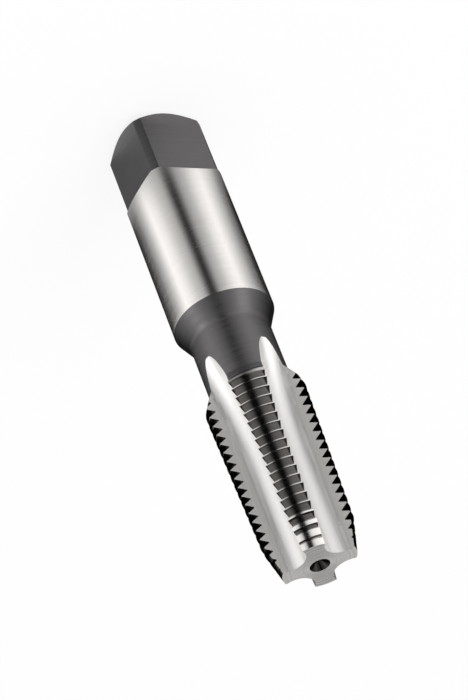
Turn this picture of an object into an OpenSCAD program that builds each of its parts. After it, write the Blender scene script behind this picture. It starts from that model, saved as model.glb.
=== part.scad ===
// Taper thread tap, turned, milled and ground from one bar of tool steel.
// The centre of the drive end's face is the origin, and +Z runs along the axis to the point.
// Angles about the axis are counted from +X, where the middle of the first land lies.
// Each land has its own row of grooves, leant over to the helix and a share of the pitch
// further on than the row before it, so that together they follow a right-hand thread.

/* [Square drive] */
// Size of the square across its flats
square_across_flats = 10.67; // [9.4:0.01:11.6]
// Diameter of the turned corners of the square
square_corner_dia = 13.95; // [13.2:0.01:14.2]
// Length of the flats from the drive end
square_length = 10.8; // [8:0.1:16]
// Length that the turned corners run on past the flats
corner_overrun = 0.2; // [0.1:0.05:1]
// Slope of the ramp at the end of each flat, from the axis
flat_ramp_angle = 45; // [35:1:60]
// Turn of the square's first flat about the axis, from the first land
square_turn = 56; // [0:1:89]
// Diameter of the flat face of the drive end
drive_face_dia = 9.3; // [7:0.1:10.4]
// Angle of the chamfer round the drive end, from the face
drive_chamfer_angle = 34; // [20:1:45]

/* [Shank and neck] */
// Diameter of the ground shank
shank_dia = 14.29; // [14.25:0.01:16]
// Length of the ground shank, from the flats to the shoulder
shank_length = 23.5; // [10:0.5:60]
// Radius that rounds the shank into the shoulder
shoulder_round = 3; // [0.5:0.1:4]
// Slope of the shoulder, from the axis
shoulder_angle = 27; // [20:1:45]
// Diameter of the neck
neck_dia = 11.27; // [10.4:0.01:11.8]
// Length from the shoulder's start to the full height of the thread
neck_length = 14.4; // [12:0.1:30]

/* [Thread] */
// Diameter over the crests at the back of the thread
thread_dia = 14.1; // [13.6:0.01:14.8]
// Length of the thread from its back to the point
thread_length = 26.3; // [18:0.1:34]
// Length along the axis in which the thread's diameter falls by one
thread_taper = 16; // [12:1:40]
// Distance from crest to crest
thread_pitch = 1.4111; // [1:0.0001:1.6]
// Depth of the thread
thread_depth = 1.129; // [0.7:0.001:1.13]
// Angle between the flanks
flank_angle = 60; // [55:1:60]
// Width of the flat at the bottom of each groove
root_flat = 0.05; // [0.02:0.01:0.1]
// Radius that the back of the thread falls away on
thread_back_round = 6.3; // [4:0.1:9]
// Distance from the back of the thread to the first land's first groove, towards the shank
first_groove_back = 2.72; // [1.5:0.01:2.8]
// Diameter of the point's face
point_dia = 10.3; // [9.8:0.05:11]
// Slope of the lead at the point, from the axis
lead_angle = 14; // [8:0.5:25]

/* [Flutes] */
// Number of flutes and of lands
flute_count = 4; // [3:1:4]
// Diameter left between the bottoms of the flutes at the point
core_dia = 5.65; // [5:0.05:6.6]
// Radius of the bottom of each flute
flute_radius = 2.45; // [2.2:0.01:2.8]
// Slope of a flute's wall under a cutting edge, from the line through the flute's middle
face_wall_angle = 33; // [20:1:40]
// Slope of a flute's wall behind the heel of the next land, from the same line
heel_wall_angle = 33; // [20:1:42]
// Tilt of the bottom of each flute, which rises towards the shank
flute_tilt = 0.7; // [0.1:0.1:2.5]
// Length of the straight bottom of each flute, from the point
flute_length = 14.9; // [10:0.1:20]
// Radius of the grinding wheel that forms the end of each flute
wheel_radius = 71; // [55:1:95]

/* [Centre holes] */
// Diameter of the mouth of the centre hole at each end
centre_mouth_dia = 2.8; // [2:0.05:3.2]
// Angle of the centre hole's cone
centre_angle = 60; // [60:15:90]
// Diameter of the pilot hole behind the cone
pilot_dia = 1; // [0.6:0.1:1.4]
// Length of the pilot hole past the cone
pilot_length = 0.8; // [0.4:0.1:2]

/* [Hidden] */
// Steps of each rounded stretch of the turned outline
round_steps = 8;
// Fineness of the round bodies
$fn = 96;
// Length by which each cutter stands clear of the metal
clear = 2;

shank_r = shank_dia / 2;
neck_r = neck_dia / 2;
corner_r = square_corner_dia / 2;
drive_face_r = drive_face_dia / 2;
point_r = point_dia / 2;
core_r = core_dia / 2;
thread_r = thread_dia / 2;

// Places along the axis
corner_end = square_length + corner_overrun;
shoulder_start = square_length + shank_length;
thread_back = shoulder_start + neck_length;
overall_length = thread_back + thread_length;

// The shoulder: an arc off the shank, then a cone down to the neck
shoulder_cone_r = shank_r - shoulder_round * (1 - cos(shoulder_angle));
shoulder_cone_start = shoulder_start + shoulder_round * sin(shoulder_angle);
shoulder_end = shoulder_cone_start + (shoulder_cone_r - neck_r) / tan(shoulder_angle);

// The lead: a cone from the point's face back to the taper over the crests
crest_slope = 1 / (2 * thread_taper);
lead_length = (crest_r(overall_length) - point_r) / (tan(lead_angle) - crest_slope);
lead_start = overall_length - lead_length;

// The back of the thread meets the neck where its arc has dropped to the neck's radius
back_drop = thread_back_round - (thread_r - neck_r);
back_angle = acos(back_drop / thread_back_round);

// Angle from the middle of one land to the next
land_step = 360 / flute_count;

// The rows of grooves of neighbouring lands end this angle apart, over the flute between them
groove_gap = 12;
first_groove = thread_back - first_groove_back;
groove_count = ceil((overall_length - first_groove) / thread_pitch) + 1;
ridge_height = (thread_pitch - root_flat) / 2 / tan(flank_angle / 2);
thread_middle = (thread_back + overall_length) / 2;
helix_angle = atan(thread_pitch / (2 * PI * crest_r(thread_middle)));

// Past the flute's straight length, the wheel lifts out until it is clear of the shank
flute_reach = thread_r + clear - core_r;
run_out_turn = acos(1 - (shank_r - core_r) / wheel_radius);

centre_mouth_r = centre_mouth_dia / 2;
pilot_r = pilot_dia / 2;
centre_cone_depth = (centre_mouth_r - pilot_r) / tan(centre_angle / 2);

// Radius over the crests of the full thread, at a place along the axis
function crest_r(z) = thread_r - (z - thread_back) * crest_slope;

// Points of an arc about a centre in the turned outline, from one angle to another
function arc(centre, radius, from, to) =
    [for (i = [0 : round_steps])
        let (a = from + (to - from) * i / round_steps)
        centre + radius * [cos(a), sin(a)]];

// Outline of the turned blank: distance from the axis, place along it
function blank_outline() = concat(
    [
        [0, 0],
        [drive_face_r, 0],
        [corner_r, (corner_r - drive_face_r) * tan(drive_chamfer_angle)],
        [corner_r, corner_end - (shank_r - corner_r)],
        [shank_r, corner_end]
    ],
    arc([shank_r - shoulder_round, shoulder_start], shoulder_round, 0, shoulder_angle),
    [[neck_r, shoulder_end]],
    arc([thread_r - thread_back_round, thread_back], thread_back_round, -back_angle, 0),
    [
        [crest_r(lead_start), lead_start],
        [point_r, overall_length],
        [0, overall_length]
    ]
);

module blank() {
    rotate_extrude() polygon(blank_outline());
}

// One flat of the square, with the ramp that it runs out on
module flat_cut() {
    flat_r = square_across_flats / 2;
    outer_r = shank_r + clear;
    ramp_end = square_length + (outer_r - flat_r) / tan(flat_ramp_angle);
    rotate([90, 0, 0])
        linear_extrude(2 * outer_r, center = true)
            polygon([
                [flat_r, -clear],
                [flat_r, square_length],
                [outer_r, ramp_end],
                [outer_r, -clear]
            ]);
}

// Ends of a flute's straight wall on the +Y side: where it leaves the round bottom, and its mouth
function flute_wall(angle) =
    let (touch = flute_radius * [1 - sin(angle), cos(angle)])
    [touch, touch + flute_reach * [1, tan(angle)]];

// Section of a flute that opens along +X from its lowest point: a round bottom that runs into
// the cutting face of one land on the -Y side and into the heel of the next on the +Y side
module flute_section() {
    face = flute_wall(face_wall_angle);
    heel = flute_wall(heel_wall_angle);
    translate([flute_radius, 0]) circle(flute_radius);
    polygon([heel[0], heel[1], [face[1].x, -face[1].y], [face[0].x, -face[0].y]]);
}

// One flute: a straight stretch from the point, then the arc on which the wheel lifts out
module flute_cut() {
    translate([core_r, 0, overall_length])
        rotate([0, -flute_tilt, 0]) {
            translate([0, 0, -flute_length])
                linear_extrude(flute_length + clear) flute_section();
            translate([wheel_radius, 0, -flute_length])
                rotate([90, 0, 0])
                    rotate_extrude(angle = run_out_turn, start = 180)
                        translate([wheel_radius, 0]) rotate(180) flute_section();
        }
}

// Outline of the grooves of one land, open to the outside, shifted along the helix
function groove_outline(shift) = concat(
    [for (i = [0 : groove_count - 1])
        let (z = first_groove + shift + i * thread_pitch, r = crest_r(z) - thread_depth)
        each [
            [r + ridge_height, z - thread_pitch / 2],
            [r, z - root_flat / 2],
            [r, z + root_flat / 2]
        ]],
    [
        [thread_r, first_groove + shift + (groove_count - 0.5) * thread_pitch],
        [thread_r + clear, first_groove + shift + (groove_count - 0.5) * thread_pitch],
        [thread_r + clear, first_groove + shift - thread_pitch / 2]
    ]
);

// The grooves of one land, with its middle along +X, leant over to the helix
module land_grooves(shift) {
    translate([0, 0, thread_middle])
        rotate([helix_angle, 0, 0])
            translate([0, 0, -thread_middle])
                rotate_extrude(angle = land_step - groove_gap, start = (groove_gap - land_step) / 2)
                    polygon(groove_outline(shift));
}

// A centre hole that opens downwards at z = 0: a cone and its pilot
module centre_hole() {
    rotate_extrude()
        polygon([
            [0, -clear],
            [centre_mouth_r, -clear],
            [centre_mouth_r, 0],
            [pilot_r, centre_cone_depth],
            [pilot_r, centre_cone_depth + pilot_length],
            [0, centre_cone_depth + pilot_length]
        ]);
}

// The bar with its square, flutes and centre holes, before the thread is cut
module fluted_blank() {
    difference() {
        blank();
        for (i = [0 : 3]) rotate(square_turn + 90 * i) flat_cut();
        for (i = [0 : flute_count - 1]) rotate((i + 0.5) * land_step) flute_cut();
        centre_hole();
        translate([0, 0, overall_length]) mirror([0, 0, 1]) centre_hole();
    }
}

// The whole tap, with one row of grooves for each land
module tap() {
    color("#8e8c89")
        difference() {
            fluted_blank();
            for (i = [0 : flute_count - 1])
                rotate(i * land_step) land_grooves(i * thread_pitch / flute_count);
        }
}

tap();
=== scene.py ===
"""Taper thread tap of ground tool steel, standing on its drive end.

The tap is one closed skin: a grid of rows, stacked along the axis, and columns, which run round
it. Rows follow the edges of the turned and milled parts and the helix of the thread. Columns
follow the edges between the lands and the flutes.
Lengths are millimetres until the skin is put into its mesh. Angles are radians unless named
otherwise. The centre of the drive end's face is the origin, and +Z runs to the point.
"""

import bpy
import numpy as np
from mathutils import Matrix, Vector


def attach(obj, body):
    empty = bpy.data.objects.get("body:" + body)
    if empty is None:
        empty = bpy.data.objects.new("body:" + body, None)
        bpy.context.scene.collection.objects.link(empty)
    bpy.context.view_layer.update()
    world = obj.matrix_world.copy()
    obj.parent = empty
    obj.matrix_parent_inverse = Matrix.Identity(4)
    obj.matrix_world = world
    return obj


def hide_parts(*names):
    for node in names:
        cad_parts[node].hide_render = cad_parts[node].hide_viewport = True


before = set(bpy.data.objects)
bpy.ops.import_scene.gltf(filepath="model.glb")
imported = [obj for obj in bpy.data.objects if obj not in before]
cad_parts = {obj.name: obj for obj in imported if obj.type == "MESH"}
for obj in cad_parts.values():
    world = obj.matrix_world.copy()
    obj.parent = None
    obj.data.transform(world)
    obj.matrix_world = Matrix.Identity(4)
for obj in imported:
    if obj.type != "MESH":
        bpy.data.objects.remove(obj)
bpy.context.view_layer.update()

# Metres in a millimetre
METRES = 0.001

# Sizes of the tap

FLAT_DISTANCE = 10.67 / 2
CORNER_RADIUS = 13.95 / 2
# Heights at which the flats of the square and its turned corners end
FLAT_END = 10.8
CORNER_END = 11.0
RAMP_ANGLE = np.radians(45)
# Turn of the first flat from the first land
SQUARE_TURN = np.radians(56)
DRIVE_FACE_RADIUS = 9.3 / 2
DRIVE_CHAMFER = np.radians(34)

SHANK_RADIUS = 14.29 / 2
SHOULDER_START = 34.25
# Radius that rounds the shank into the shoulder, and the shoulder's slope from the axis
SHOULDER_ROUND = 0.3
SHOULDER_ANGLE = np.radians(26.5)
NECK_RADIUS = 11.27 / 2
# Radius of the hollow between the shoulder and the neck
NECK_FILLET = 1.7

# Height from which the crests have their full radius, and that radius
THREAD_BACK = 48.55
THREAD_RADIUS = 14.12 / 2
CREST_SLOPE = 1 / 32
PITCH = 1.4111
THREAD_DEPTH = 1.014
FLANK_ANGLE = np.radians(60)
# Half the width of the flats on the crests and at the bottoms of the grooves
HALF_CREST = 0.06
# Slope of the cone between the neck and the thread, and the radius that rounds its edge
BACK_ANGLE = np.radians(29.5)
BACK_ROUND = 1.0
# Height of the first land's first groove
FIRST_GROOVE = 46.1
# The grooves are shallower by this much at the first height, and full from the second on
SHALLOW_START = 0.15
SHALLOW_HEIGHTS = (46.0, 49.0)
LENGTH = 75.0
POINT_RADIUS = 10.3 / 2
LEAD_ANGLE = np.radians(14)

LANDS = 4
# Distance from the axis to the bottom of each flute at the point
CORE_RADIUS = 5.65 / 2
FLUTE_RADIUS = 2.52
# Slopes of a flute's walls from its middle: under a cutting edge, and behind a heel
FACE_WALL = np.radians(25)
HEEL_WALL = np.radians(32)
# The straight bottom of a flute rises towards the shank, and the grinding wheel lifts out past it
FLUTE_TILT = np.radians(0.3)
FLUTE_LENGTH = 13.9
WHEEL_RADIUS = 75.0
# Depth that the heel of each land is relieved by, and the heights between which it sets in
HEEL_RELIEF = 0.14
RELIEF_HEIGHTS = (46.0, 50.0)

CENTRE_MOUTH = 2.8 / 2
CENTRE_ANGLE = np.radians(60)
PILOT_RADIUS = 1.0 / 2
PILOT_LENGTH = 0.8

SECTOR = 2 * np.pi / LANDS
CENTRE_DEPTH = (CENTRE_MOUTH - PILOT_RADIUS) / np.tan(CENTRE_ANGLE / 2)

# The turned outline


def smooth(value, low, high):
    """Goes from 0 at low to 1 at high, level at both."""
    t = np.clip((value - low) / (high - low), 0, 1)
    return t * t * (3 - 2 * t)


def fade(value, low, high):
    """Goes from 1 at low to 0 at high, level at both."""
    return smooth(-value, -high, -low)


def crest_line(z):
    """Radius over the full crests: falls by 1 in 32 from the back of the thread."""
    return THREAD_RADIUS - (z - THREAD_BACK) * CREST_SLOPE


def arc(centre_r, centre_z, radius, start, end, steps=40):
    """Radii and heights of an arc about (centre_r, centre_z), from one angle to another."""
    angle = np.linspace(start, end, steps)
    return centre_r + radius * np.cos(angle), centre_z + radius * np.sin(angle)


def turned_outline():
    """Heights and radii of the bar above its drive chamfer, as one line of points, and the
    heights of the fillet between the shoulder and the neck.

    An arc leads from the shank to the shoulder's cone, and a hollow one from the cone to the
    neck. A second cone rises from the neck, and an arc rounds it into the tapered crests."""
    shoulder_r, shoulder_z = arc(
        SHANK_RADIUS - SHOULDER_ROUND, SHOULDER_START, SHOULDER_ROUND, 0, SHOULDER_ANGLE
    )
    neck_start = shoulder_z[-1] + (shoulder_r[-1] - NECK_RADIUS) / np.tan(SHOULDER_ANGLE)
    fillet_r, fillet_z = arc(
        NECK_RADIUS + NECK_FILLET, neck_start + NECK_FILLET * np.tan(SHOULDER_ANGLE / 2),
        NECK_FILLET, np.pi + SHOULDER_ANGLE, np.pi,
    )
    back_r, back_z = arc(
        THREAD_RADIUS - BACK_ROUND, THREAD_BACK, BACK_ROUND, -BACK_ANGLE, 0
    )
    back_start = back_z[0] - (back_r[0] - NECK_RADIUS) / np.tan(BACK_ANGLE)
    lead_length = (crest_line(LENGTH) - POINT_RADIUS) / (np.tan(LEAD_ANGLE) - CREST_SLOPE)
    lead_start = LENGTH - lead_length
    z = np.concatenate([
        [0, CORNER_END - (SHANK_RADIUS - CORNER_RADIUS), CORNER_END],
        shoulder_z, fillet_z, [back_start], back_z, [lead_start, LENGTH],
    ])
    r = np.concatenate([
        [CORNER_RADIUS, CORNER_RADIUS, SHANK_RADIUS],
        shoulder_r, fillet_r, [NECK_RADIUS], back_r, [crest_line(lead_start), POINT_RADIUS],
    ])
    return z, r, fillet_z


OUTLINE_Z, OUTLINE_R, FILLET_Z = turned_outline()


def outline(z):
    """Radius of the bar before any flat, flute or groove, above the drive chamfer."""
    return np.interp(z, OUTLINE_Z, OUTLINE_R)


def groove(z, phase):
    """Radius of the thread's groove: a narrow flat bottom between two straight flanks. The
    first grooves are shallower.

    phase is the distance along the axis from the middle of the nearest groove."""
    root = crest_line(z) - THREAD_DEPTH + SHALLOW_START * fade(z, *SHALLOW_HEIGHTS)
    return root + np.maximum(np.abs(phase) - HALF_CREST, 0) / np.tan(FLANK_ANGLE / 2)


# The flutes

# A distance along the section that is outside every bar, and the halvings that find the edge
FARTHEST = 9.0
HALVINGS = 40


def flute_arc(wall):
    """Length of the round bottom from its lowest point to a wall of that slope."""
    return FLUTE_RADIUS * (np.pi / 2 - wall)


def flute_section(along, wall):
    """Depth and half-width of the flute's section at a distance along it from its lowest
    point: a round bottom, then a straight wall tangent to it."""
    turn = np.minimum(along, flute_arc(wall)) / FLUTE_RADIUS
    straight = np.maximum(along - flute_arc(wall), 0)
    depth = FLUTE_RADIUS * (1 - np.cos(turn)) + straight * np.cos(wall)
    return depth, FLUTE_RADIUS * np.sin(turn) + straight * np.sin(wall)


def flute_point(along, z, wall):
    """Place of the section's point at height z: distance from the axis along the flute's
    middle, and distance to its side.

    The straight stretch leans by the flute's tilt. Past it the point lies on a circle about
    the wheel's centre, whose radius is the wheel's less the point's depth in the section."""
    depth, side = flute_section(along, wall)
    lean, upright = np.sin(FLUTE_TILT), np.cos(FLUTE_TILT)
    straight = CORE_RADIUS + (depth + lean * (LENGTH - z)) / upright
    wheel_x = CORE_RADIUS + WHEEL_RADIUS * upright + FLUTE_LENGTH * lean
    wheel_z = LENGTH + WHEEL_RADIUS * lean - FLUTE_LENGTH * upright
    reach = np.maximum((WHEEL_RADIUS - depth) ** 2 - (z - wheel_z) ** 2, 0)
    curved = wheel_x - np.sqrt(reach)
    on_wheel = z < LENGTH + lean * depth - FLUTE_LENGTH * upright
    return np.where(on_wheel, curved, straight), side


def flute_edge(z, radius, wall):
    """Distance along the section at which the flute comes out of a bar of that radius, found
    by halving. It is 0 where there is no flute."""
    low = np.zeros(np.broadcast(z, radius, wall).shape)
    high = np.full_like(low, FARTHEST)
    for _ in range(HALVINGS):
        middle = (low + high) / 2
        inside = np.hypot(*flute_point(middle, z, wall)) < radius
        low, high = np.where(inside, middle, low), np.where(inside, high, middle)
    return low


# Rows and columns

ARC_CELLS = 10
WALL_CELLS = 2
HALF_FLUTE_CELLS = ARC_CELLS + WALL_CELLS
LAND_CELLS = 12
FLUTE_COLUMNS = 2 * HALF_FLUTE_CELLS + 1
SECTOR_COLUMNS = FLUTE_COLUMNS + 2 + LAND_CELLS - 1
COLUMNS = LANDS * SECTOR_COLUMNS

# Place of each column in its sector: -1 to 1 across the flute, 1 to 3 across the land after it
FLUTE_PLACE = np.linspace(-HALF_FLUTE_CELLS, HALF_FLUTE_CELLS, FLUTE_COLUMNS) / (
    HALF_FLUTE_CELLS + 1
)
LAND_PLACE = 1 + 2 * np.arange(1, LAND_CELLS) / LAND_CELLS
PLACE = np.concatenate([[-1], FLUTE_PLACE, [1], LAND_PLACE])

# Half the angle that a flute takes where there is none to follow, and the least that it keeps
OPEN_HALF = SECTOR / 2 * (HALF_FLUTE_CELLS + 1) / (HALF_FLUTE_CELLS + 1 + LAND_CELLS / 2)
LEAST_HALF = np.radians(2)
# Half the angle that a flat of the square takes
SQUARE_HALF = np.arccos(FLAT_DISTANCE / CORNER_RADIUS)
# Heights between which the columns turn from the corners of the square to the flutes
SHANK_ROWS_START = 13.2
TURN_END = 33.0
# Heights between which the columns close up to meet the tips of the flutes
CLOSE_HEIGHTS = (38.0, 41.3)
# Heights between which the tips lie, where the rows are close together
TIP_HEIGHTS = (41.2, 42.2)
# Height from which the rows follow the thread, and from which they start to lean to its helix
THREAD_ROWS_START = 44.1
LEAN_START = 43.0
# Length in which they come level again at the point
LEAN_END = 0.8
# Half-angle of a land as the rows see it when they lean over to the helix
LEAN_HALF = np.radians(18)
# Least gaps of the thread's rows from the height where they start and from the point
BACK_GAP, POINT_GAP = 0.05, 0.03
# The columns inside a flute keep this far below the roots of the grooves, which sets in between
# these heights, and within this share of the way to the flute's edge
ROOT_CLEARANCE = 0.06
ROOT_HEIGHTS = (44.0, 46.5)
EDGE_SHARE = 0.93
# Numbers of rows, and the shares of the way at which the rows of the ramps and past them lie
SHANK_ROWS = 22
ROUND_ROWS = 9
CHAMFER_ROWS = 3
FLAT_ROWS = 8
RAMP_SHARES = (0.15, 0.4, 0.7, 1.0)
SHANK_SHARES = (1 / 3, 2 / 3)
FACE_ROWS = 4
# Rows of faces in the drive end's centre hole
CENTRE_ROWS = 2
# Between these heights the bar keeps its oxide
OXIDE_START = SHOULDER_START + 0.06
OXIDE_END = 47.3
# Least depth at which a face of the thread counts as a groove's, and takes its painted shade
GROOVE_DEPTH = 0.02
# Margin by which a groove may lie before the first one and still be cut
FIRST_MARGIN = 0.1
# Share of a flute's round bottom past which it has the finish of the walls, with its painted
# shade
WALL_SHARE = 0.82
# Edges that turn by more than this stay sharp
SHARP_ANGLE = np.radians(22)


def row_lean():
    """Share of the land's half-angle that each column leans the row by: 1 at a land's
    leading edge, -1 at its heel, and back again across the flute."""
    return np.where(PLACE > 1, PLACE - 2, -PLACE)


def upper_rows():
    """Heights of the rows from the shank up. One of them is the edge of the oxide.

    Over the thread there are four rows to a quarter of the pitch. Two of them stand either
    side of each crest and root, on every land, because a land's thread starts a quarter of
    the pitch above the last one's."""
    shank = np.linspace(SHANK_ROWS_START, SHOULDER_START, SHANK_ROWS)
    turn = np.arcsin((OXIDE_START - SHOULDER_START) / SHOULDER_ROUND)
    turns = np.linspace(turn, SHOULDER_ANGLE, ROUND_ROWS)
    rounded = SHOULDER_START + SHOULDER_ROUND * np.sin(turns)
    neck = np.concatenate([np.linspace(start, end, count + 1)[1:] for start, end, count in (
        (rounded[-1], FILLET_Z[0], 4),
        (FILLET_Z[0], FILLET_Z[-1], 6),
        (FILLET_Z[-1], TIP_HEIGHTS[0], 11),
        (TIP_HEIGHTS[0], TIP_HEIGHTS[1], 10),
        (TIP_HEIGHTS[1], THREAD_ROWS_START, 11),
    )])
    quarter = PITCH / LANDS
    first = int(np.ceil((THREAD_ROWS_START - FIRST_GROOVE) / quarter))
    last = int(np.floor((LENGTH - FIRST_GROOVE) / quarter))
    lattice = FIRST_GROOVE + quarter * np.arange(first, last + 1)
    step = np.array([-HALF_CREST, HALF_CREST, quarter / 3, quarter * 2 / 3])
    thread = (lattice[:, None] + step).ravel()
    clear = (thread > THREAD_ROWS_START + BACK_GAP) & (thread < LENGTH - POINT_GAP)
    return np.concatenate([shank, rounded, neck, thread[clear], [LENGTH]])


def groove_depth(rows, z, land):
    """Depth of a land's thread groove below the turned outline, or 0 where it has none. Its
    grooves lie a pitch apart, from the first one's height and a quarter of the pitch for
    each land before it."""
    phase = rows - FIRST_GROOVE - land * PITCH / LANDS
    phase = (phase + PITCH / 2) % PITCH - PITCH / 2
    cut = rows - phase > FIRST_GROOVE - FIRST_MARGIN
    return np.where(cut, np.maximum(outline(z) - groove(z, phase), 0), 0)


def land_radius(rows, z, land, across):
    """Radius of a land: the turned outline less the thread's groove, and lower behind the
    cutting edge by the square of the way back to the heel."""
    back = (1 - across) / 2
    relief = HEEL_RELIEF * back ** 2 * smooth(z, *RELIEF_HEIGHTS)
    return outline(z) - groove_depth(rows, z, land) - relief


def plain_angles(half):
    """Angle of each column from its flute's middle: the columns of the flute spread over
    half an angle either side, and those of the land over what is left."""
    land = half + (PLACE - 1) / 2 * (SECTOR - 2 * half)
    return np.where(PLACE > 1, land, half * PLACE)


def flute_columns(rows, z, flute):
    """Angles and radii of one flute's columns, the rows on which there is a flute, and the
    columns that lie on its straight walls.

    The outer two columns lie where the flute meets the lands, which is further out on a
    crest than on a root. The others keep clear of the roots, and spread along the section."""
    place = PLACE[: FLUTE_COLUMNS + 2]
    wall = np.where(place < 0, FACE_WALL, HEEL_WALL)
    before_radius = land_radius(rows, z[:, 0], flute, 1)
    after_radius = land_radius(rows, z[:, -1], flute + 1, -1)
    before = flute_edge(z[:, 0], before_radius, FACE_WALL)
    after = flute_edge(z[:, -1], after_radius, HEEL_WALL)
    root = np.minimum(outline(rows), crest_line(rows) - THREAD_DEPTH)
    root = root - (HEEL_RELIEF + ROOT_CLEARANCE) * smooth(rows, *ROOT_HEIGHTS)
    edge = np.where(place < 0, before[:, None], after[:, None])
    inner = np.minimum(flute_edge(rows[:, None], root[:, None], wall), EDGE_SHARE * edge)

    share = np.abs(place) * (HALF_FLUTE_CELLS + 1)
    bottom = np.minimum(flute_arc(wall), inner * ARC_CELLS / HALF_FLUTE_CELLS)
    straight = (inner - bottom) / WALL_CELLS
    along = bottom * np.minimum(share, ARC_CELLS) / ARC_CELLS
    along = along + straight * np.maximum(share - ARC_CELLS, 0)
    along = np.where(np.abs(place) < 1, along, edge)
    x, side = flute_point(along, z, wall)
    angle = np.arctan2(side, x) * np.sign(place)
    radius = np.hypot(x, side)
    cut = np.minimum(-angle[:, 0], angle[:, -1]) > LEAST_HALF
    plain = np.column_stack([before_radius, outline(z[:, 1:-1]), after_radius])
    walls = along > WALL_SHARE * flute_arc(wall)
    return angle, np.where(cut[:, None], radius, plain), cut, walls


def upper_skin():
    """Angles, heights and radii of the rows from the shank up to the point, and what the
    finishes follow: where the flutes are cut, their straight walls, and the grooves' depth."""
    rows = upper_rows()
    helix = smooth(rows, LEAN_START, THREAD_ROWS_START)
    helix = helix * np.clip((LENGTH - rows) / LEAN_END, 0, 1)
    z = rows[:, None] + helix[:, None] * PITCH * LEAN_HALF / (2 * np.pi) * row_lean()
    half = LEAST_HALF + (OPEN_HALF - LEAST_HALF) * fade(rows, *CLOSE_HEIGHTS)
    square = fade(rows, SHANK_ROWS_START, TURN_END)
    twist = (SQUARE_TURN - SECTOR / 2) * square
    plain = np.array([plain_angles(h) for h in half])
    plain = plain + square[:, None] * (plain_angles(SQUARE_HALF) - plain) + twist[:, None]

    span = slice(0, FLUTE_COLUMNS + 2)
    angles, radii, cuts, walls, depths = [], [], [], [], []
    lands = np.repeat([[0, 1]], [1, SECTOR_COLUMNS - 1], axis=1)
    for flute in range(LANDS):
        angle, radius, cut, wall = flute_columns(rows, z[:, span], flute)
        angles.append(np.where(cut[:, None], angle, plain[:, span]))
        cuts.append(np.repeat(cut[:, None], SECTOR_COLUMNS, axis=1))
        walls.append(np.pad(wall, ((0, 0), (0, LAND_CELLS - 1))))
        depths.append(groove_depth(rows[:, None], z, flute + lands))
        land_z = z[:, FLUTE_COLUMNS + 2 :]
        land = land_radius(rows[:, None], land_z, flute + 1, LAND_PLACE - 2)
        radii.append(np.hstack([radius, land]))
    sectors = []
    for flute in range(LANDS):
        first = angles[flute][:, -1:]
        last = angles[(flute + 1) % LANDS][:, :1] + SECTOR
        land = first + (last - first) * (LAND_PLACE - 1) / 2
        sectors.append(np.hstack([angles[flute], land]) + SECTOR * (flute + 0.5))
    marks = [np.hstack(part) for part in (cuts, walls, depths)]
    return np.hstack(sectors), np.tile(z, (1, LANDS)), np.hstack(radii), marks


def drive_skin():
    """Angles, heights and radii of the rows from the drive end's centre hole to the shank.

    A flat lies a fixed distance from the axis, so its radius is that over the cosine of the
    angle from its middle. The rows follow the edges where it meets the chamfer, which is a
    cone, and where the ramp at its end meets the shank."""
    turn = plain_angles(SQUARE_HALF)
    flat = FLAT_DISTANCE / np.cos(turn)
    chamfer_top = (np.minimum(flat, CORNER_RADIUS) - DRIVE_FACE_RADIUS) * np.tan(DRIVE_CHAMFER)
    ramp = (SHANK_RADIUS * np.cos(turn) - FLAT_DISTANCE) / np.tan(RAMP_ANGLE)
    ramp_top = FLAT_END + np.maximum(ramp, CORNER_END - FLAT_END)

    z, r = [], []
    for height, radius in (
        (CENTRE_DEPTH + PILOT_LENGTH, PILOT_RADIUS),
        (CENTRE_DEPTH, PILOT_RADIUS),
        (0, CENTRE_MOUTH),
        (0, (CENTRE_MOUTH + DRIVE_FACE_RADIUS) / 2),
        (0, DRIVE_FACE_RADIUS),
    ):
        z.append(np.full_like(turn, height))
        r.append(np.full_like(turn, radius))
    for share in np.linspace(0, 1, CHAMFER_ROWS + 1)[1:]:
        z.append(share * chamfer_top)
        r.append(DRIVE_FACE_RADIUS + z[-1] / np.tan(DRIVE_CHAMFER))
    for share in np.linspace(0, 1, FLAT_ROWS + 1)[1:]:
        z.append(chamfer_top + share * (FLAT_END - chamfer_top))
        r.append(np.minimum(flat, CORNER_RADIUS))
    for share in RAMP_SHARES:
        z.append(FLAT_END + share * (ramp_top - FLAT_END))
        on_ramp = flat + (z[-1] - FLAT_END) * np.tan(RAMP_ANGLE) / np.cos(turn)
        r.append(np.minimum(on_ramp, outline(z[-1])))
    for share in SHANK_SHARES:
        z.append(ramp_top + share * (SHANK_ROWS_START - ramp_top))
        r.append(np.full_like(turn, SHANK_RADIUS))
    sectors = [turn + SQUARE_TURN + SECTOR * flat_number for flat_number in range(LANDS)]
    angles = np.tile(np.concatenate(sectors), (len(z), 1))
    return angles, np.tile(np.array(z), (1, LANDS)), np.tile(np.array(r), (1, LANDS))


def point_skin(angles, radii):
    """Angles, heights and radii of the rows on the point's face, in from its edge, and down
    into its centre hole."""
    shares = np.linspace(0, 1, FACE_ROWS + 1)[1:, None]
    face_r = radii + (CENTRE_MOUTH - radii) * shares
    face_z = np.full_like(face_r, LENGTH)
    pilot_r = np.full((2, COLUMNS), PILOT_RADIUS)
    pilot_z = LENGTH - CENTRE_DEPTH - np.array([[0], [PILOT_LENGTH]]) + np.zeros_like(pilot_r)
    z = np.vstack([face_z, pilot_z])
    return np.tile(angles, (len(z), 1)), z, np.vstack([face_r, pilot_r])


# The skin

BLACK, SHANK, FLUTE, SHADED_WALL, THREAD, SHADED_GROOVE, FACE, SHADED_CENTRE = range(8)


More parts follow.
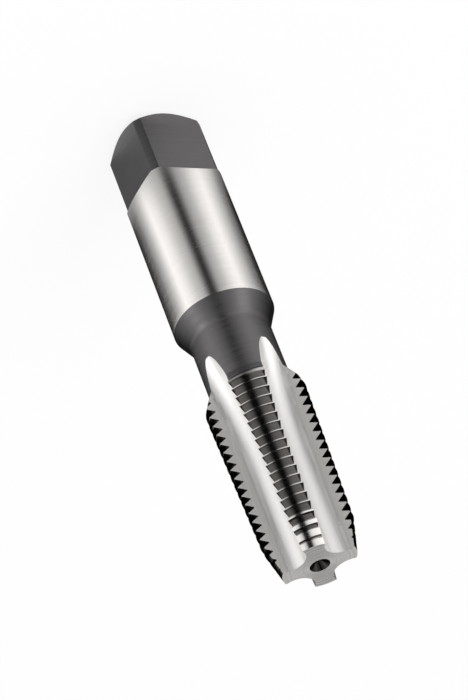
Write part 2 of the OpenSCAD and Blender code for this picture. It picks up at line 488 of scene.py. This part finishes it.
def skin_faces(rows):
    """Corners of the faces between neighbouring rows and columns, and of the fans that close
    the bottoms of the two pilot holes. The fans' middles are the last two vertices."""
    row, column = np.meshgrid(np.arange(rows - 1), np.arange(COLUMNS), indexing="ij")
    beside = (column + 1) % COLUMNS
    quads = np.stack([
        row * COLUMNS + column, row * COLUMNS + beside,
        (row + 1) * COLUMNS + beside, (row + 1) * COLUMNS + column,
    ], axis=-1).reshape(-1, 4)
    ring = np.arange(COLUMNS)
    turned = (ring + 1) % COLUMNS
    first = np.full(COLUMNS, rows * COLUMNS)
    last = (rows - 1) * COLUMNS
    fans = np.vstack([
        np.column_stack([first, turned, ring]),
        np.column_stack([last + ring, last + turned, first + 1]),
    ])
    return quads, fans


def face_means(grid):
    """Mean of the four corners of each face of a grid that closes on itself."""
    pairs = (grid[1:] + grid[:-1]) / 2
    return (pairs + np.roll(pairs, -1, axis=1)) / 2


def skin_finishes(z, marks, counts):
    """Finish of each face between two rows and two columns. marks are those of the upper
    skin, and counts are the rows of the drive skin and of the upper one.

    Oxide covers the drive end and what lies between the shank and the ground thread."""
    drive_rows, upper_count = counts
    finish = np.full((z.shape[0] - 1, COLUMNS), BLACK)
    # The drive end's centre hole takes the finish painted dark as shade
    finish[:CENTRE_ROWS] = SHADED_CENTRE
    finish[drive_rows - len(SHANK_SHARES) - 1 : drive_rows] = SHANK
    upper = slice(drive_rows, drive_rows + upper_count - 1)
    heights = ((z[1:] + z[:-1]) / 2)[upper]
    cut, wall, depth = (face_means(mark.astype(float)) for mark in marks)
    in_flute = (cut == 1) & (np.arange(COLUMNS) % SECTOR_COLUMNS <= FLUTE_COLUMNS)
    part = np.where(heights < OXIDE_START, SHANK, BLACK)
    # Faces deep in a groove take the finish with painted shade
    ground = np.where(depth > GROOVE_DEPTH, SHADED_GROOVE, THREAD)
    part = np.where(heights > OXIDE_END, ground, part)
    # The flutes' straight walls take the finish with painted shade
    finish[upper] = np.where(in_flute, np.where(wall == 1, SHADED_WALL, FLUTE), part)
    finish[upper.stop : upper.stop + FACE_ROWS] = FACE
    # The point's centre hole takes the finish painted dark as shade
    finish[upper.stop + FACE_ROWS :] = SHADED_CENTRE
    return finish


def make_skin(finishes):
    """Stacks the three parts of the skin, from the drive end's centre hole to the point's."""
    drive_angles, drive_z, drive_r = drive_skin()
    upper_angles, upper_z, upper_r, marks = upper_skin()
    point_angles, point_z, point_r = point_skin(upper_angles[-1], upper_r[-1])
    angles = np.vstack([drive_angles, upper_angles, point_angles])
    z = np.vstack([drive_z, upper_z, point_z])
    r = np.vstack([drive_r, upper_r, point_r])
    points = np.stack([r * np.cos(angles), r * np.sin(angles), z], axis=-1).reshape(-1, 3)
    poles = [[0, 0, drive_z[0, 0]], [0, 0, point_z[-1, 0]]]
    points = np.vstack([points, poles]) * METRES

    quads, fans = skin_faces(len(z))
    finish = skin_finishes(z, marks, (len(drive_z), len(upper_z)))
    mesh = bpy.data.meshes.new("tap_skin")
    mesh.from_pydata(points, [], quads.tolist() + fans.tolist())
    for material in finishes:
        mesh.materials.append(material)
    slots = np.concatenate([finish.ravel(), np.full(len(fans), SHADED_CENTRE)])
    mesh.polygons.foreach_set("material_index", slots.astype(np.int32))
    mesh.shade_smooth()
    mesh.set_sharp_from_angle(angle=SHARP_ANGLE)
    mesh.update()
    tap = bpy.data.objects.new("tap_skin", mesh)
    bpy.context.scene.collection.objects.link(tap)
    return tap


# Finishes


def linear(hex_colour):
    """The linear colour, with an alpha of 1, of an sRGB colour written in hex."""
    parts = np.array([int(hex_colour[i : i + 2], 16) for i in (1, 3, 5)]) / 255
    low, high = parts / 12.92, ((parts + 0.055) / 1.055) ** 2.4
    return (*np.where(parts <= 0.04045, low, high).tolist(), 1.0)


def add(tree, kind, sockets=None, **settings):
    """Adds a node, sets its properties, and fills its sockets with values or with outputs of
    other nodes."""
    node = tree.nodes.new(kind)
    for name, value in settings.items():
        setattr(node, name, value)
    for socket, value in (sockets or {}).items():
        if isinstance(value, bpy.types.NodeSocket):
            tree.links.new(value, node.inputs[socket])
        else:
            node.inputs[socket].default_value = value
    return node


def new_material(name):
    """A material with an empty node tree, and that tree."""
    material = bpy.data.materials.new(name)
    material.use_nodes = True
    material.node_tree.nodes.clear()
    return material, material.node_tree


# Share by which tool marks change the roughness, and the values that most of the noise is within
ROUGH_TONE = 0.25
NOISE_LOW, NOISE_HIGH = 0.3, 0.7


def metal(name, colour, roughness, streak, bump_mm, stretch=(0.0, 0.0), tone=0.05, rings=False):
    """Steel whose tool marks are drawn out along the longer sides of streak, a size in
    millimetres along X, Y and Z. With rings, the marks are rings about the axis, as on a
    turned face, and their width is the first size.

    The marks stand bump_mm high, and change the roughness by the share ROUGH_TONE and the
    colour by the share tone. stretch is how far they draw out a reflection, and the quarter
    turns from the tap's axis to the way they draw it."""
    material, tree = new_material(name)
    place = add(tree, "ShaderNodeTexCoord").outputs["Object"]
    scale = [1 / (size * METRES) for size in streak]
    marks = add(tree, "ShaderNodeMapping", {"Vector": place, "Scale": scale}).outputs["Vector"]
    noise = {"Scale": 1.0, "Detail": 3.0, "Roughness": 0.6}
    if rings:
        radius = add(tree, "ShaderNodeVectorMath", {0: marks}, operation="LENGTH")
        noise = add(tree, "ShaderNodeTexNoise", {"W": radius.outputs["Value"], **noise},
                    noise_dimensions="1D")
        along = place
    else:
        noise = add(tree, "ShaderNodeTexNoise", {"Vector": marks, **noise})
        along = add(tree, "ShaderNodeCombineXYZ", {"Z": 1.0}).outputs["Vector"]
    height = noise.outputs["Fac"]
    middle = {"Value": height, "From Min": NOISE_LOW, "From Max": NOISE_HIGH}
    rough = add(tree, "ShaderNodeMapRange", {
        **middle, "To Min": roughness * (1 - ROUGH_TONE), "To Max": roughness * (1 + ROUGH_TONE),
    })
    shade = add(tree, "ShaderNodeMapRange", {**middle, "To Min": 1 - tone, "To Max": 1 + tone})
    paint = add(tree, "ShaderNodeVectorMath", {
        0: linear(colour)[:3], "Scale": shade.outputs["Result"]}, operation="SCALE")
    bump = add(tree, "ShaderNodeBump", {
        "Height": height, "Distance": bump_mm * METRES, "Strength": 1.0,
    })
    amount, quarters = stretch
    shader = add(tree, "ShaderNodeBsdfPrincipled", {
        "Base Color": paint.outputs["Vector"], "Metallic": 1.0,
        "Roughness": rough.outputs["Result"], "Normal": bump.outputs["Normal"],
        "Anisotropic": amount, "Anisotropic Rotation": quarters / 4, "Tangent": along,
    })
    add(tree, "ShaderNodeOutputMaterial", {"Surface": shader.outputs["BSDF"]})
    return material


# The finishes of a tap of high-speed steel. The streaks are the marks that each tool leaves:
# fine across the way that the tool went, and long along it. Turning and facing marks have their
# real width. Grinding marks are some hundredths of a millimetre wide on the real tool, and are
# drawn as coarse as they need to be to show.
FINISHES = {
    # Black oxide over turning marks 0.35 mm wide: dark and dull, so that the square, the
    # shoulder and the neck stand off from the bright steel
    BLACK: metal("black_oxide", "#6B696A", 0.43, (7.0, 7.0, 0.35), 0.0014, (0.4, 0), 0.1),
    # Rings 0.12 mm wide from grinding between centres: they draw the reflections out along the
    # shank, into long soft bands with a dark line in the middle
    SHANK: metal("ground_shank", "#E8E5E2", 0.22, (6.0, 6.0, 0.12), 0.0002, (0.75, 0), 0.04),
    # Lines 0.4 mm wide along the flutes, from their grinding wheel: the palest part of the tap,
    # with a soft sheen across each hollow
    FLUTE: metal("ground_flute", "#EFEDEB", 0.36, (0.4, 0.4, 12.0), 0.003, (0.75, 1), 0.05),
    # The same lines, rougher where the side of the wheel cut, and painted greyer as painted
    # shade: a darker band on the walls beside the teeth
    SHADED_WALL: metal("ground_flute_wall_painted_shade", "#D3D1CF", 0.4, (0.4, 0.4, 12.0), 0.004, (0.6, 1), 0.1),
    # Crests and lead with fine marks 0.1 mm wide: narrow bright glints
    THREAD: metal("ground_thread", "#E8E5E2", 0.18, (2.0, 2.0, 0.1), 0.0002, (0.6, 0)),
    # Flanks and bottoms of the grooves, with the same marks: painted darker than the crests, as
    # painted shade in the grooves, so that the crests show
    SHADED_GROOVE: metal("ground_groove_painted_shade", "#A3A19F", 0.13, (2.0, 2.0, 0.1), 0.0002, (0.3, 0), 0.1),
    # Facing rings 0.3 mm wide: a flat grey, finely ringed face at the point
    FACE: metal("turned_face", "#D8D6D4", 0.3, (0.3, 0.3, 1e6), 0.001, (0.5, 0), 0.1, True),
    # Centre holes: turned steel painted dark inside, as painted shade in the holes, with a few
    # small glints
    SHADED_CENTRE: metal("turned_centre_painted_shade", "#3E3C3A", 0.16, (1.0, 1.0, 0.1), 0.0005),
}

tap = make_skin([FINISHES[slot] for slot in range(len(FINISHES))])
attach(tap, "root")
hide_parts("tap")

# The studio

# The camera, fitted to the photograph: the side of the tap that faces it, the angle between
# its line of sight and the axis, the cosine and sine of its roll, and the height on the axis
# and the distance beside it at which it aims
NEAR_AZIMUTH = np.radians(271.51)
VIEW_ANGLE = np.radians(55.949)
ROLL_SIDE, ROLL_DOWN = 0.93091, 0.36525
AIM_HEIGHT = 39.18
AIM_SHIFT = 0.176
DISTANCE = 398.07
FOCAL_MM = 151.96
SENSOR_MM = 36.0
# Nothing nearer to the camera than this is seen
CLIP_START = 10.0


def make_camera():
    """The camera looks down on the point's side of the tap, with the axis running down the
    picture and to the right."""
    up_axis = np.array([0, 0, 1.0])
    near = np.array([np.cos(NEAR_AZIMUTH), np.sin(NEAR_AZIMUTH), 0])
    side = np.cross(near, up_axis)
    back = np.cos(VIEW_ANGLE) * up_axis + np.sin(VIEW_ANGLE) * near
    down = np.sin(VIEW_ANGLE) * up_axis - np.cos(VIEW_ANGLE) * near
    right = ROLL_SIDE * side + ROLL_DOWN * down
    up = ROLL_DOWN * side - ROLL_SIDE * down
    place = AIM_HEIGHT * up_axis - AIM_SHIFT * side + DISTANCE * back
    data = bpy.data.cameras.new("camera")
    data.sensor_fit = "VERTICAL"
    data.sensor_height = SENSOR_MM
    data.lens = FOCAL_MM
    data.clip_start = CLIP_START * METRES
    camera = bpy.data.objects.new("camera", data)
    bpy.context.scene.collection.objects.link(camera)
    axes = np.column_stack([right, up, back])
    camera.matrix_world = Matrix.Translation(Vector(place * METRES)) @ Matrix(axes).to_4x4()
    bpy.context.scene.camera = camera


def make_sheet(name, points, size, material):
    """A flat or curved sheet: a grid of points, with size rows and columns."""
    rows, columns = size
    row, column = np.meshgrid(np.arange(rows - 1), np.arange(columns - 1), indexing="ij")
    corner = row * columns + column
    quads = np.stack([corner, corner + 1, corner + columns + 1, corner + columns], axis=-1)
    mesh = bpy.data.meshes.new(name)
    mesh.from_pydata(points.reshape(-1, 3) * METRES, [], quads.reshape(-1, 4).tolist())
    mesh.materials.append(material)
    sheet = bpy.data.objects.new(name, mesh)
    bpy.context.scene.collection.objects.link(sheet)
    return sheet


# Half the width of the floor, and the share of white in what the camera and the reflections
# see of it. The rest is its paint, which keeps the tap's shadow.
FLOOR_REACH = 6000.0
FLOOR_WHITE = 0.85


def make_floor():
    """A pale floor, which the camera and the reflections see as nearly white."""
    material, tree = new_material("white_floor")
    path = add(tree, "ShaderNodeLightPath").outputs
    seen = add(tree, "ShaderNodeMath", {0: path["Is Camera Ray"], 1: path["Is Glossy Ray"]},
               operation="MAXIMUM")
    seen = add(tree, "ShaderNodeMath", {
        0: seen.outputs["Value"], 1: path["Is Transmission Ray"]}, operation="MAXIMUM")
    share = add(tree, "ShaderNodeMath", {0: seen.outputs["Value"], 1: FLOOR_WHITE},
                operation="MULTIPLY")
    paint = add(tree, "ShaderNodeBsdfDiffuse", {"Color": linear("#F2F2F2")})
    glow = add(tree, "ShaderNodeEmission", {"Color": linear("#FFFFFF"), "Strength": 1.0})
    mix = add(tree, "ShaderNodeMixShader", {
        "Fac": share.outputs["Value"], 1: paint.outputs["BSDF"], 2: glow.outputs["Emission"]})
    add(tree, "ShaderNodeOutputMaterial", {"Surface": mix.outputs["Shader"]})
    corners = np.array([[-1, -1, 0], [1, -1, 0], [-1, 1, 0], [1, 1, 0]]) * FLOOR_REACH
    make_sheet("floor", corners, (2, 2), material)


def seen_in_gloss_only(sheet):
    """Hides a sheet from all but the reflections in the tap."""
    sheet.visible_camera = False
    sheet.visible_diffuse = False
    sheet.visible_shadow = False
    sheet.visible_transmission = False


def make_painted_reflection_sheet(name, points, shades):
    """A sheet that glows by the shade held in its points, and that only the reflections see: it
    paints the reflections in the tap.
    """
    material, tree = new_material(name)
    shade = add(tree, "ShaderNodeAttribute", attribute_name="shade").outputs["Fac"]
    glow = add(tree, "ShaderNodeEmission", {"Color": shade, "Strength": 1.0})
    add(tree, "ShaderNodeOutputMaterial", {"Surface": glow.outputs["Emission"]})
    sheet = make_sheet(name, points, shades.shape, material)
    layer = sheet.data.attributes.new("shade", "FLOAT", "POINT")
    layer.data.foreach_set("value", shades.ravel().astype(np.float32))
    seen_in_gloss_only(sheet)


# The paper and the tent, as the reflections see them: glowing sheets whose shades paint the
# reflections in the tap. Angles in these tables are degrees, and the front is the side that
# faces the camera.
TENT_RADIUS = 450.0
TENT_GRID = (181, 91)
PAPER_HEIGHT = 0.2
PAPER_START = 7.5
PAPER_GRID = (361, 70)
# Painted reflection: shade of the paper by the angle from the front to the right, where the
# shank and the neck see it
PAPER_TURN = (-180, -130, -105, -85, -62, -45, -30, -17, -8, -3,
              3, 8, 17, 30, 45, 62, 85, 105, 130, 180)
PAPER_SHADE = (0.0, 0.04, 0.2, 0.56, 1.25, 1.03, 0.7, 0.5, 0.16, 0.03,
               0.02, 0.11, 0.4, 0.6, 0.96, 1.2, 0.7, 0.3, 0.02, 0.0)
# Where the square sees it, nearer than these distances from the axis
NEAR_REACH = (20, 24)
NEAR_TURN = (-180, -140, -109, -80, -45, -19, 0, 30, 55, 85, 110, 140, 180)
NEAR_SHADE = (0.1, 0.3, 0.4, 0.4, 0.45, 0.42, 0.2, 0.5, 0.85, 0.85, 0.3, 0.1, 0.1)
# Where the flutes and the thread see it, further than these. Behind the tap it is black, past
# these distances and these angles to either side.
FAR_REACH = (70, 84)
FAR_TURN = (-180, -138, -112, -60, -45, -32, -20, -14, -9, -6,
            7, 11, 15, 21, 32, 45, 60, 112, 138, 180)
FAR_SHADE = (0.0, 0.0, 1.1, 1.15, 1.0, 0.85, 0.7, 0.5, 0.2, 0.0,
             0.0, 0.2, 0.5, 0.7, 0.85, 1.0, 0.95, 0.8, 0.0, 0.0)
BEHIND_REACH = (120, 150)
BEHIND_TURN = (95, 110)
# Furthest out, and over the tent, by the angle to either side
HORIZON_REACH = (150, 300)
FRONT_TURN = (0, 7, 11, 20, 40, 50, 63, 78, 95, 115, 135)
FRONT_SHADE = (0.0, 0.0, 0.6, 0.95, 1.1, 2.4, 2.4, 1.1, 0.6, 0.2, 0.0)
# Shade of the tent by the angle up from the floor
TENT_RISE = (0, 5, 9, 22, 30, 38, 50, 65, 80, 90)
TENT_SHADE = (1.3, 1.3, 0.95, 0.8, 0.55, 0.45, 0.3, 0.12, 0.03, 0.0)
# The painted window in the tent, a glow that only the point's face reflects: its shade, the
# angles to either side between which it sets in, the angle up to its middle, and the angles
# above and below that between which it ends
WINDOW_SHADE = 0.78
WINDOW_TURN = (152, 164)
WINDOW_RISE = 36
WINDOW_EDGE = (7, 12)


def make_painted_reflection_paper():
    """A flat ring of glowing paper laid round the tap, that paints the reflections in it: black
    in front of it and behind, and pale to the sides. Its points lie at an angle from the front
    and at a distance from the axis."""
    rows, columns = PAPER_GRID
    turn, reach = np.meshgrid(np.linspace(-np.pi, np.pi, rows),
                              np.geomspace(PAPER_START, TENT_RADIUS, columns), indexing="ij")
    angle = NEAR_AZIMUTH + turn
    points = np.stack([reach * np.cos(angle), reach * np.sin(angle),
                       np.full_like(angle, PAPER_HEIGHT)], axis=-1)
    right = -np.degrees(turn)
    across = np.abs(right)
    shades = np.interp(right, PAPER_TURN, PAPER_SHADE)
    near = np.interp(right, NEAR_TURN, NEAR_SHADE)
    shades = shades + (near - shades) * fade(reach, *NEAR_REACH)
    far = np.interp(right, FAR_TURN, FAR_SHADE)
    far = far * (1 - smooth(reach, *BEHIND_REACH) * smooth(across, *BEHIND_TURN))
    shades = shades + (far - shades) * smooth(reach, *FAR_REACH)
    horizon = np.interp(across, FRONT_TURN, FRONT_SHADE)
    shades = shades + (horizon - shades) * smooth(reach, *HORIZON_REACH)
    make_painted_reflection_sheet("painted_reflection_paper", points, shades)


def make_painted_reflection_tent():
    """A glowing half sphere over the tap, that paints the reflections in it: pale low down in
    front, dark behind and overhead, with a painted window behind that only the point's face sees.
    Its points lie at an angle from the front and at an angle up from the floor."""
    rows, columns = TENT_GRID
    turn, rise = np.meshgrid(np.linspace(-np.pi, np.pi, rows),
                             np.linspace(0, np.pi / 2, columns), indexing="ij")
    angle = NEAR_AZIMUTH + turn
    points = TENT_RADIUS * np.stack([
        np.cos(rise) * np.cos(angle), np.cos(rise) * np.sin(angle), np.sin(rise)], axis=-1)
    height, across = np.degrees(rise), np.abs(np.degrees(turn))
    front = np.interp(height, TENT_RISE, TENT_SHADE)
    front = front * np.interp(across, FRONT_TURN, FRONT_SHADE)
    window = smooth(across, *WINDOW_TURN) * fade(np.abs(height - WINDOW_RISE), *WINDOW_EDGE)
    make_painted_reflection_sheet("painted_reflection_tent", points, front + WINDOW_SHADE * window)


SKY = 0.9


def make_world():
    """An even pale sky, which lights the floor and the tap."""
    world = bpy.data.worlds.new("studio")
    bpy.context.scene.world = world
    world.use_nodes = True
    tree = world.node_tree
    tree.nodes.clear()
    back = add(tree, "ShaderNodeBackground", {"Color": (SKY, SKY, SKY, 1), "Strength": 1.0})
    add(tree, "ShaderNodeOutputWorld", {"Surface": back.outputs["Background"]})


def make_lamp(name, azimuth, elevation, distance, size, power):
    """A square soft lamp that faces the middle of the tap. Its angles are degrees."""
    data = bpy.data.lights.new(name, "AREA")
    data.shape = "SQUARE"
    data.size = size * METRES
    data.energy = power
    lamp = bpy.data.objects.new(name, data)
    bpy.context.scene.collection.objects.link(lamp)
    a, e = np.radians([azimuth, elevation])
    towards = Vector((np.cos(e) * np.cos(a), np.cos(e) * np.sin(a), np.sin(e)))
    middle = Vector((0, 0, LENGTH / 2 * METRES))
    lamp.location = middle + towards * distance * METRES
    lamp.rotation_euler = towards.to_track_quat("Z", "Y").to_euler()
    lamp.visible_glossy = False


make_camera()
make_floor()
make_painted_reflection_paper()
make_painted_reflection_tent()
make_world()
make_lamp("key_lamp", azimuth=230, elevation=50, distance=600, size=350, power=1.2)
bpy.context.scene.view_settings.view_transform = "Standard"
